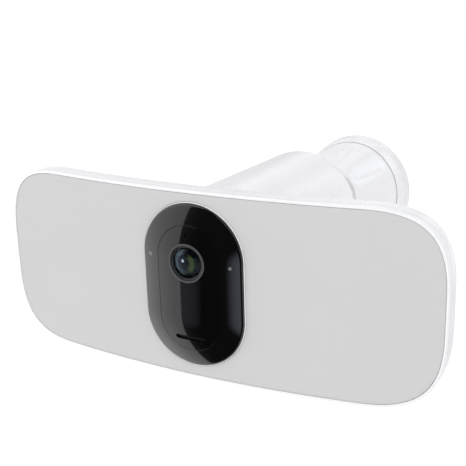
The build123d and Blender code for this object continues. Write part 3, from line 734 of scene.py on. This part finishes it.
def close_stadium(faces, start):
    """Fills the stadium_loop that starts at this point with strips across it."""
    count = 6 * STADIUM_STEPS
    top = 2 * STADIUM_STEPS + 1

    def strip(a, b, c, d):
        corners = (a, b, d) if b == c else (a, b, c, d)
        faces.append(tuple(start + corner for corner in corners))

    for end in (0, count // 2):
        for i in range(STADIUM_STEPS):
            strip(end + i, end + i + 1, end + top - 2 - i, end + top - 1 - i)
    for k in range(STADIUM_STEPS):
        strip(top - 1 + k, top + k, (count - k - 1) % count, (count - k) % count)


def cover_loop(growth, y):
    return stadium_loop(COVER_W + growth, COVER_H + growth, y)


def make_camera_cover():
    """Black shell: domed front, softly rounded edge, and a seam round the smoked face."""
    edge = 1.1 * MM
    edge_steps = 10
    front_steps = 8
    lip = COVER_W - FACE_W - FIT
    soft = 0.12 * MM

    def front(inset):
        fall = edge - math.sqrt(max(edge**2 - (edge - min(inset, edge)) ** 2, 0))
        return lambda x, z: dome_y(x, z) + fall

    def inside(x, z):
        return dome_y(x, z, COVER_WALL)

    def face_side_loop(inset, y):
        """Loop between the cover's edge and the face, whose outline is a little less tall for its width."""
        return stadium_loop(COVER_W - inset, COVER_H - (COVER_H - FACE_H - FIT) * (inset / lip), y)

    loops = [cover_loop(-COVER_WALL, 6.0 * MM), cover_loop(0, 6.0 * MM), cover_loop(0, 1.5 * MM)]
    for k in range(edge_steps + 1):
        inset = edge * (1 - math.cos(k / edge_steps * math.pi / 2))
        loops.append(cover_loop(-inset, front(inset)))
    for k in range(1, front_steps + 1):
        inset = edge + (lip - soft - edge) * k / front_steps
        loops.append(face_side_loop(inset, front(inset)))
    loops.append(face_side_loop(lip, lambda x, z: dome_y(x, z) + soft))
    loops.append(face_side_loop(lip, inside))
    loops.append(cover_loop(-COVER_WALL - edge, inside))
    loops.append(cover_loop(-COVER_WALL, 3.0 * MM))
    shell = add_piece("black_cover", *skin(loops, closed_chain=True), "head", "gloss_black", ["camera_cover"])

    lo, hi = head_box("sensor_window")
    middle = (lo + hi) / 2
    half = (hi.x - lo.x) / 2 + FIT
    window = [square_loop(half, 0.4 * MM, y, middle.x, middle.z) for y in (AHEAD, 0)]
    lo, hi = head_box("status_light_pipe")
    light = rod_cutter((hi.x - lo.x) / 2 + FIT, AHEAD, 0, (lo.x + hi.x) / 2, (lo.z + hi.z) / 2, 32)
    cut(shell, [cutter(*capped(window)), light])


def make_cover_trim():
    """Thin bright ring between the cover and the diffuser, bent like the panel."""
    section = [
        (FIT, 3.0), (FIT, -0.2), (FIT + 0.12 * MM, -0.36), (0.3 * MM, -0.42), (0.5 * MM, -0.42),
        (TRIM - 0.08 * MM, -0.36), (TRIM, -0.2), (TRIM, 3.0),
    ]
    loops = [cover_loop(growth, lambda x, z: bend_y(x, depth * MM)) for growth, depth in section]
    add_piece("bright_trim", *skin(loops, closed_chain=True), "head", "white_shell", ["cover_trim"])


def make_face_window():
    """Smoked face inside the seam, with holes for the lens, the microphone and the speaker."""
    soft = 0.1 * MM
    rings = 12
    loops = [
        stadium_loop(FACE_W, FACE_H, lambda x, z: dome_y(x, z, COVER_WALL)),
        stadium_loop(FACE_W, FACE_H, lambda x, z: dome_y(x, z) + soft),
    ]
    for k in range(rings):
        inset = soft + (FACE_W - soft) * k / rings
        loops.append(stadium_loop(FACE_W - inset, FACE_H - inset, dome_y))
    verts, faces = skin(loops)
    close_stadium(faces, 0)
    close_stadium(faces, len(verts) - len(loops[0]))
    face = add_piece("smoked_front", verts, faces, "head", "smoked_face", ["face_window"])
    mic_lo, mic_hi = head_box("microphone")
    grille_lo, grille_hi = head_box("speaker_grille")
    speaker_z = (grille_lo.z + grille_hi.z) / 2
    speaker = [slot_loop(grille_hi.x - 1.2 * MM, 1.4 * MM, y, 0, speaker_z) for y in (AHEAD, 0)]
    cut(face, [
        rod_cutter(LENS_R + FIT, AHEAD, 0, 0, LENS_Z, 96),
        rod_cutter(0.8 * MM, AHEAD, 0, 0, (mic_lo.z + mic_hi.z) / 2, 32),
        cutter(*capped(speaker)),
    ])


def head_lathe(
    name, profile, look, replaced, z=0.0, x=0.0, segments=128, body="head", sharp=SHARP, slot=None
):
    return add_piece(name, *lathe(profile, z, x, segments), body, look, replaced, sharp=sharp, slot=slot)


def on_dome(shape):
    """Bends a flat-fronted shape to follow the cover's domed front."""
    verts, faces = shape
    verts[:, 1] += dome_y(verts[:, 0], verts[:, 2]) - NOSE
    return verts, faces


def make_lens():
    """Grey rim, satin step, clear dome, ribbed barrel and the front element, with reflections and a highlight
    painted in its colour.

    Profiles are (radius, y) points in mm, with y from the front of the rim.
    """
    front = lens_lo.y
    round_glass = 17.0 * MM
    ribs = 6
    rib_deep = 0.34

    def at(*points):
        return [(r * MM, front + y * MM, *[c * MM for c in corner]) for r, y, *corner in points]

    def bowl(radius, crown, count):
        """Points from the middle of a domed glass out to its edge."""
        reach = [radius * MM * math.sin(k / count * math.pi / 2) for k in range(count + 1)]
        return [(r, front + crown * MM + round_glass - math.sqrt(round_glass**2 - r**2)) for r in reach]

    outside = LENS_R / MM
    inside = outside - 0.9
    rim = rounded(at(
        (outside, 5), (outside, 0, 0.35), (inside, 0, 0.3), (inside, 1.6, 0.1),
        (10.2, 1.6), (10.2, 5), (outside, 5),
    ))
    add_piece("lens_rim", *on_dome(lathe(rim, LENS_Z)), "head", "lens_rim", ["lens_ring"], slot="satin_black")
    step = rounded(at(
        (10.95, 1.75), (10.95, 1.0, 0.1), (10.3, 0.85, 0.2), (9.6, 1.3, 0.2),
        (9.6, 2.3), (10.1, 2.3), (10.1, 1.75), (10.95, 1.75),
    ))
    add_piece("lens_step", *on_dome(lathe(step, LENS_Z)), "head", "satin_black", ["lens_ring"])
    glass = bowl(9.45, -0.6, 20) + bowl(9.0, 0.4, 20)[::-1]
    head_lathe("lens_dome", glass, "lens_coated", ["lens_glass"], LENS_Z)
    barrel = at((9.1, 5.2), (9.4, 4.6), (9.4, 4.4), (8.9, 4.4))
    for k in range(ribs):
        r = 8.8 - 0.36 * k
        y = 4.5 + rib_deep * k
        barrel += at((r, y), (r - 0.2, y), (r - 0.2, y + rib_deep))
    barrel += at((5.6, 13.0), (8.4, 14.0), (9.1, 5.2))
    head_lathe("lens_tube", barrel, "satin_black", ["lens_barrel"], LENS_Z, sharp=20)
    element = bowl(8.9, 1.0, 16) + at((8.9, 4.3), (0, 4.3))
    head_lathe("element_front", element, "element_front", ["lens_elements"], LENS_Z, slot="lens_coated")


# ---- Sleeve and stem -----------------------------------------------------------------------------
def sleeve_line(radius_1, radius_2, start, dome_start, dome_end, taper_steps=12, dome_steps=28):
    """(radius, y) points of the sleeve: a taper, then a domed end."""
    line = [(radius_1, start)]
    for k in range(1, taper_steps):
        radius = radius_1 + (radius_2 - radius_1) * k / taper_steps
        line.append((radius, start + (dome_start - start) * k / taper_steps))
    full = dome_start + 0.55 * (dome_end - dome_start)
    p = [(radius_2, dome_start), (radius_2, full), (0.55 * radius_2, dome_end), (0, dome_end)]
    for k in range(dome_steps + 1):
        t = k / dome_steps
        a, b, c, d = (1 - t) ** 3, 3 * (1 - t) ** 2 * t, 3 * (1 - t) * t**2, t**3
        line.append(tuple(a * p[0][i] + b * p[1][i] + c * p[2][i] + d * p[3][i] for i in (0, 1)))
    return line


def make_sleeve():
    """Domed housing with a rolled front lip and the button's hole."""
    front = sleeve_lo.y
    back_r = 40.4 * MM
    dome_start = 158.0 * MM
    dome_end = 183.0 * MM
    wall = 2.6 * MM
    soft = 0.8 * MM
    bore = SLEEVE_R - wall
    start = front + soft
    outer = sleeve_line(SLEEVE_R, back_r, start, dome_start, dome_end)
    inner = sleeve_line(bore, back_r - wall, start, dome_start, dome_end - wall)
    turn = front + 0.3 * soft
    lip = [(bore + 0.3 * soft, turn), (bore + soft, front)]
    lip += [(SLEEVE_R - soft, front), (SLEEVE_R - 0.3 * soft, turn)]
    shape = lathe(inner[::-1] + lip + outer, SLEEVE_Z, segments=160)
    sleeve = add_piece("white_sleeve", *shape, "sleeve", "white_shell", ["housing_sleeve"])
    lo, hi = head_box("release_button")
    y = (lo.y + hi.y) / 2
    hole = [pad_ring(6.25 * MM, PAD_CORNER, 0, y, z) for z in (-60 * MM, SLEEVE_Z - 30 * MM)]
    cut(sleeve, [cutter(*capped(hole))])


def make_boss():
    """Round foot that holds the stem at the sleeve's end."""
    end = sleeve_hi.y
    start = end - 27 * MM
    bore = 6.1 * MM
    foot = 15.0 * MM
    profile = rounded([
        (bore, start), (bore, end), (foot, end, 1.2 * MM), (foot, end - 14 * MM, 8.0 * MM),
        (18.0 * MM, start), (bore, start),
    ], 10)
    head_lathe("stem_boss", profile, "white_shell", [], BALL_LOCAL.z, body="sleeve")


def make_ball_stem():
    """Ball, neck and collar, turned from one bar."""
    y = BALL_LOCAL.y
    radius = 18.0 * MM
    neck = 6.0 * MM
    flange = 10 * MM
    end = y - 63 * MM
    shoulder = sleeve_hi.y + 0.3 * MM
    flange_back = shoulder + 3 * MM
    start = math.asin(neck / radius)
    ball = [(radius * math.sin(a), y - radius * math.cos(a)) for a in np.linspace(start, math.pi, 48)]
    profile = [(0, end)] + rounded([
        (5.4 * MM, end), (neck, y - 62.4 * MM), (neck, shoulder), (flange, shoulder, 0.6 * MM),
        (flange, flange_back, 0.6 * MM), (neck, flange_back, 0.8 * MM), (neck, y - radius + 1 * MM),
    ]) + ball
    head_lathe("pivot_ball", profile, "inner_plastic", ["ball_stem"], BALL_LOCAL.z, body="ball_stem")


def pad_ring(half, corner, x, y, z):
    """Level square with rounded corners, for the button under the sleeve."""
    ring = square_loop(half, corner, 0)
    return np.stack([ring[:, 0] + x, ring[:, 2] + y, np.full(len(ring), z)], 1)


def make_release_button():
    """Dished pad under the sleeve, with a flange inside it."""
    lo, hi = head_box("release_button")
    x = (lo.x + hi.x) / 2
    y = (lo.y + hi.y) / 2
    half = 6.0 * MM
    flange = lo.z + 4.3 * MM
    loops = [pad_ring(half * s, PAD_CORNER * s, x, y, lo.z + 0.5 * MM * (1 - s)) for s in (0.05, 0.35, 0.6)]
    for inset, z in ((1.0, lo.z), (0.35, lo.z + 0.15 * MM), (0.0, lo.z + 0.7 * MM), (0.0, flange)):
        loops.append(pad_ring(half - inset * MM, PAD_CORNER, x, y, z))
    loops += [pad_ring(half + 1.2 * MM, PAD_CORNER, x, y, z) for z in (flange, hi.z)]
    add_piece("release_pad", *capped(loops), "release_button", "white_shell", ["release_button"])


def make_sync_button():
    """Dished round cap on the panel's back."""
    lo, hi = head_box("sync_button")
    dish = hi.y - 0.55 * MM
    flange = lo.y + 0.8 * MM
    cap = [(0, dish)] + [(r * MM, dish + r * r * 0.035 * MM) for r in (0.8, 1.6, 2.4, 3.0)]
    cap += rounded([(3.4 * MM, hi.y), (4.0 * MM, hi.y, 0.35 * MM), (4.0 * MM, flange)])
    cap += [(5.2 * MM, flange), (5.2 * MM, lo.y), (0, lo.y)]
    head_lathe("sync_cap", cap, "white_shell", ["sync_button"], 0, (lo.x + hi.x) / 2, 96, "sync_button")


def make_release_spring():
    """Coil over the release button."""
    lo, hi = head_box("release_spring")
    centre = (lo + hi) / 2
    wire = 0.3 * MM
    radius = (hi.x - lo.x) / 2 - wire
    turns = 4
    loops = []
    for angle in np.linspace(0, TAU * turns, turns * 32 + 1):
        rise = lo.z + wire + (hi.z - lo.z - 2 * wire) * angle / (TAU * turns)
        loop = []
        for around in np.linspace(0, TAU, 10, endpoint=False):
            out = radius + wire * math.cos(around)
            height = rise + wire * math.sin(around)
            loop.append((centre.x + out * math.cos(angle), centre.y + out * math.sin(angle), height))
        loops.append(np.array(loop))
    coil = add_piece("pad_spring", *capped(loops), "sleeve", "steel", ["release_spring"])
    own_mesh(coil)


# ---- Wall mount ----------------------------------------------------------------------------------
base_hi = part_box("mount_base")[1]
collar_lo, collar_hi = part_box("lock_collar")
LOBES = 8
LOBE_DEPTH = 1.5 * MM
CREASE = math.radians(40)


def make_collar():
    """Cone with grips: from each crease the surface rises slowly one way and steeply the other."""
    back = collar_hi.y
    front = collar_lo.y
    wide = collar_hi.x - 0.5 * MM
    back_r = wide - 0.3 * MM
    slim = 25.4 * MM
    soft = 1.2 * MM
    steps = 48
    segments = 480
    mouth = 23.0 * MM
    lip_end = front + 3 * MM
    thread = 28.1 * MM
    thread_end = -36 * MM
    chamber = 24 * MM
    chamber_end = -47.5 * MM
    grip_end = -52.0 * MM

    def lobes(angles, radius, y):
        share = ((y - front) / (back - front) - 0.10) / 0.80
        fade = math.sin(share * math.pi) ** 0.6 if 0 < share < 1 else 0.0
        phase = ((angles - CREASE) / TAU * LOBES) % 1
        slow = np.maximum(1 - phase / 0.8, 0) ** 1.5
        steep = np.maximum((phase - 0.86) / 0.14, 0) ** 1.6
        return radius - LOBE_DEPTH * fade * np.maximum(slow, steep)

    lip = [(mouth, lip_end), (mouth, front, 0.5 * MM), (slim, front, 0.9 * MM), (slim, front + soft)]
    outer = rounded(lip)[:-1]
    for k in range(steps + 1):
        share = k / steps
        swell = 0.9 * MM * math.sin(share * math.pi)
        y = front + soft + (back - front - soft - 0.4 * MM) * share
        outer.append((slim + (wide - slim) * share + swell, y))
    outer.append((back_r, back))
    inner = [
        (back_r, back), (thread, back), (thread, thread_end), (chamber, thread_end), (chamber, chamber_end),
        (17.74 * MM, chamber_end), (16.3 * MM, -51.4 * MM), (17.0 * MM, grip_end), (mouth, grip_end),
        (mouth, lip_end),
    ]
    shape = merged([lathe(outer, segments=segments, lobes=lobes), lathe(inner, segments=segments)])
    add_piece("white_collar", *shape, "lock_collar", "white_shell", ["lock_collar"], WALL, sharp=50)


def make_base():
    """Round base: a gentle swell from the seam to the wall, and the ball's seat."""
    front = -16.1 * MM
    back = -1.3 * MM
    wide = base_hi.x
    slim = 41.9 * MM
    hollow = 40.0 * MM
    groove = collar_hi.x - 0.32 * MM
    groove_in = groove - 0.8 * MM
    groove_end = front + 1.5 * MM
    side = rounded([
        (28.0 * MM, front), (groove_in, front), (groove_in, groove_end), (groove, groove_end),
        (groove, front), (slim + 0.1 * MM, front, 0.12 * MM), (44.9 * MM, -9.5 * MM, 14 * MM),
        (wide, -3.2 * MM, 8 * MM), (wide, back, 0.6 * MM), (hollow, back),
    ], 10)
    rear = [(hollow, -8 * MM), (18 * MM, -12 * MM), (0, -12 * MM)]
    seat = 21.0 * MM
    seat_y = -43 * MM
    seat_edge = -35.5 * MM
    angles = np.linspace(0, math.acos((seat_edge - seat_y) / seat), 24)
    pocket = [(seat * math.sin(a), seat_y + seat * math.cos(a)) for a in angles]
    profile = pocket + [(27.4 * MM, seat_edge), (28.0 * MM, -34.9 * MM)] + side + rear
    shape = lathe(profile, segments=192)
    base = add_piece("white_base", *shape, "wall_mount", "white_shell", ["mount_base"], WALL)
    screw_lo, screw_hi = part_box("security_screw")
    y = (screw_lo.y + screw_hi.y) / 2
    hole = 2.8 * MM
    points = 40
    ring = np.linspace(0, TAU, points, endpoint=False)
    loops = [
        np.stack([hole * np.cos(ring), y + hole * np.sin(ring), np.full(points, z)], 1)
        for z in (-60 * MM, -wide + 3.4 * MM)
    ]
    cut(base, [cutter(*capped(loops), place=WALL)])


make_diffuser()
make_bezel()
make_rear_cover()
make_camera_cover()
make_cover_trim()
make_face_window()
make_lens()
make_sleeve()
make_boss()
make_ball_stem()
make_release_button()
make_sync_button()
make_release_spring()
make_screws()
make_collar()
make_base()


# ---- Floor, light and camera ---------------------------------------------------------------------
STUDIO_LEVEL = 0.845
FRONT_SHARE = 0.17
TOP_SHARE = -0.02
# What gloss sees round the lamp: (azimuth in degrees, brightness), leaning with height by BAND_LEAN.
BAND_LEAN = math.radians(-13.5)
SOFTBOX_EDGE = -28.5
GLOSS_BANDS = [
    (-180, 0.75), (-172, 0.85), (-162, 1.0), (-152, 0.7), (-136, 0.9), (-120, 0.95), (-68, 1.35),
    (SOFTBOX_EDGE - 0.8, 0.9), (SOFTBOX_EDGE, 0.10), (-18, 0.03), (-8, 0.012), (120, 0.012), (146, 0.3),
    (156, 0.7), (166, 1.1), (176, 0.7), (180, 0.75),
]
# Soft round lights that gloss sees: azimuth, height, radius of the full part and of the whole in degrees,
# and brightness.
GLOSS_PATCHES = [(30, -27, 2, 18, 0.80), (-27, -24, 2, 14, 0.16), (100, 52, 8, 30, 1.1)]
CAMERA_AZIMUTH = 30.958
CAMERA_HEIGHT = 21.164
CAMERA_DISTANCE = 0.5445
CAMERA_LENS = 70.7
CAMERA_PAN = -2.592
CAMERA_TILT = 3.276
CAMERA_ROLL = -2.620


def towards(azimuth, height):
    """Direction at an azimuth to the right of straight ahead and a height, both in degrees."""
    a = math.radians(azimuth)
    e = math.radians(height)
    return Vector((math.sin(a) * math.cos(e), -math.cos(a) * math.cos(e), math.sin(e)))


def make_floor():
    """Pale floor well below the lamp."""
    mesh = bpy.data.meshes.new("floor")
    size = 40.0
    z = cad_box[0].z - 0.55
    corners = [(-size, -size, z), (size, -size, z), (size, size, z), (-size, size, z)]
    mesh.from_pydata(corners, [], [(0, 1, 2, 3)])
    floor = add_object("floor", mesh)
    material, tree, shader = new_material("floor")
    tint(tree, grain(tree, 3.0), (0.90, 0.90, 0.90), (0.92, 0.92, 0.92), shader.inputs["Base Color"])
    with_values(material, Roughness=0.8, Emission_Color=(1, 1, 1, 1), Emission_Strength=0.34)
    mesh.materials.append(material)
    floor.visible_glossy = False


def make_key_light():
    """Soft square light in front and above, a little to the right, that gloss doesn't reflect."""
    place = Vector((0.5, -1.3, 1.3))
    aim = Vector((0, -0.2, 0))
    data = bpy.data.lights.new("key", "AREA")
    data.size = 1.0
    data.energy = 7.5
    light = add_object("key", data)
    light.location = place
    light.rotation_euler = (aim - place).to_track_quat("-Z", "Y").to_euler()
    light.visible_glossy = False


def make_world():
    """White studio that lights mostly from the front; gloss sees a bright left side and a dark front."""
    world = bpy.data.worlds.new("studio")
    bpy.context.scene.world = world
    world.use_nodes = True
    tree = world.node_tree
    tree.nodes.clear()
    path = tree.nodes.new("ShaderNodeLightPath")
    place = tree.nodes.new("ShaderNodeTexCoord").outputs["Generated"]
    axes = tree.nodes.new("ShaderNodeSeparateXYZ")
    tree.links.new(place, axes.inputs["Vector"])

    def backdrop(name=None, value=None):
        """White background of strength 1, unless a socket drives its colour or strength."""
        node = tree.nodes.new("ShaderNodeBackground")
        node.inputs["Color"].default_value = (1, 1, 1, 1)
        if name:
            tree.links.new(value, node.inputs[name])
        return node.outputs["Background"]

    front = node_math(tree, "MULTIPLY", axes.outputs["Y"], -FRONT_SHARE)
    lift = node_math(tree, "MULTIPLY", axes.outputs["Z"], TOP_SHARE)
    level = node_math(tree, "ADD", node_math(tree, "ADD", front, lift), STUDIO_LEVEL)
    ahead = node_math(tree, "MULTIPLY", axes.outputs["Y"], -1.0)
    lean = node_math(tree, "MULTIPLY", axes.outputs["Z"], BAND_LEAN)
    angle = node_math(tree, "ADD", node_math(tree, "ARCTAN2", axes.outputs["X"], ahead), lean)
    turn = tree.nodes.new("ShaderNodeMapRange")
    turn.inputs["From Min"].default_value = -math.pi
    turn.inputs["From Max"].default_value = math.pi
    tree.links.new(angle, turn.inputs["Value"])
    ramp = tree.nodes.new("ShaderNodeValToRGB")
    stops = ramp.color_ramp.elements
    for azimuth, _ in GLOSS_BANDS[1:-1]:
        stops.new((azimuth + 180) / 360)
    for stop, (_, shade) in zip(stops, GLOSS_BANDS):
        stop.color = (shade, shade, shade * 1.03, 1)
    tree.links.new(turn.outputs["Result"], ramp.inputs["Fac"])

    gloss = ramp.outputs["Color"]
    for azimuth, height, inner, outer, strength in GLOSS_PATCHES:
        facing = tree.nodes.new("ShaderNodeVectorMath")
        facing.operation = "DOT_PRODUCT"
        facing.inputs[1].default_value = towards(azimuth, height)
        tree.links.new(place, facing.inputs[0])
        reach = [math.cos(math.radians(degrees)) for degrees in (outer, inner)]
        add = tree.nodes.new("ShaderNodeMix")
        add.data_type = "RGBA"
        add.blend_type = "ADD"
        tree.links.new(smooth_step(tree, facing.outputs["Value"], *reach), add.inputs["Factor"])
        tree.links.new(gloss, add.inputs["A"])
        add.inputs["B"].default_value = (0.9 * strength, 0.95 * strength, 1.15 * strength, 1)
        gloss = add.outputs["Result"]

    def choose(switch, without, with_it):
        mix = tree.nodes.new("ShaderNodeMixShader")
        tree.links.new(switch, mix.inputs["Fac"])
        tree.links.new(without, mix.inputs[1])
        tree.links.new(with_it, mix.inputs[2])
        return mix.outputs["Shader"]

    seen = choose(path.outputs["Is Camera Ray"], backdrop("Strength", level), backdrop())
    lit = choose(path.outputs["Is Glossy Ray"], seen, backdrop("Color", gloss))
    out = tree.nodes.new("ShaderNodeOutputWorld")
    tree.links.new(lit, out.inputs["Surface"])


def make_camera():
    """Looks at the panel from its right and above."""
    back = towards(CAMERA_AZIMUTH, CAMERA_HEIGHT)
    side = Vector((0, 0, 1)).cross(back).normalized()
    up = back.cross(side)
    basis = Matrix((side, up, back)).transposed().to_4x4()
    aim = (
        Matrix.Rotation(math.radians(CAMERA_PAN), 4, "Y")
        @ Matrix.Rotation(math.radians(CAMERA_TILT), 4, "X")
        @ Matrix.Rotation(math.radians(CAMERA_ROLL), 4, "Z")
    )
    data = bpy.data.cameras.new("camera")
    data.sensor_width = 36.0
    data.lens = CAMERA_LENS
    data.clip_start = 0.01
    camera = add_object("camera", data)
    camera.matrix_world = HEAD @ Matrix.Translation(back * CAMERA_DISTANCE) @ basis @ aim
    bpy.context.scene.camera = camera


make_floor()
make_world()
make_key_light()
make_camera()
bpy.context.scene.view_settings.view_transform = "Standard"
